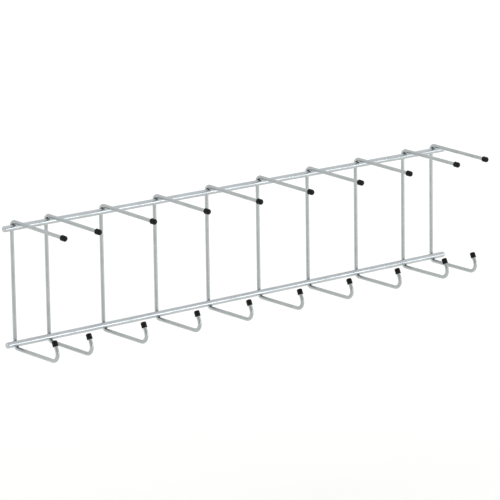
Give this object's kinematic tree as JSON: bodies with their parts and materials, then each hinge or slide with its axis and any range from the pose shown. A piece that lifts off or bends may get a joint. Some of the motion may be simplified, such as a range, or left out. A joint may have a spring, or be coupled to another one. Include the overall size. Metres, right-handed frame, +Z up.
{
  "type": "hanging file rack",
  "caption": "Wall-hung wire rack for files: two round rails join bent wires, each with a straight capped prong on top and a capped upturned hook below.",
  "frame": {"origin": "the middle of the top rail, on its axis, where the rack hangs", "axes": "+X along the rails to the right as seen from the front; -Y forward, the way the prongs and hooks point; +Z up"},
  "size_m": [0.776, 0.1165, 0.1748],
  "materials": {
    "zinc_rail": "bright zinc plated round bar",
    "zinc_wire": "bright zinc plated drawn wire",
    "weld_bead": "zinc plated weld metal",
    "black_cap": "satin dip-moulded vinyl"
  },
  "bodies": {
    "root": {"top_rail": "zinc_rail", "bottom_rail": "zinc_rail", "top_rail_welds": "weld_bead", "bottom_rail_welds": "weld_bead", "wire_form_01": "zinc_wire", "wire_form_02": "zinc_wire", "wire_form_03": "zinc_wire", "wire_form_04": "zinc_wire", "wire_form_05": "zinc_wire", "wire_form_06": "zinc_wire", "wire_form_07": "zinc_wire", "wire_form_08": "zinc_wire", "wire_form_09": "zinc_wire", "wire_form_10": "zinc_wire", "prong_cap_01": "black_cap", "prong_cap_02": "black_cap", "prong_cap_03": "black_cap", "prong_cap_04": "black_cap", "prong_cap_05": "black_cap", "prong_cap_06": "black_cap", "prong_cap_07": "black_cap", "prong_cap_08": "black_cap", "prong_cap_09": "black_cap", "prong_cap_10": "black_cap", "hook_cap_01": "black_cap", "hook_cap_02": "black_cap", "hook_cap_03": "black_cap", "hook_cap_04": "black_cap", "hook_cap_05": "black_cap", "hook_cap_06": "black_cap", "hook_cap_07": "black_cap", "hook_cap_08": "black_cap", "hook_cap_09": "black_cap", "hook_cap_10": "black_cap"}
  },
  "joints": []
}
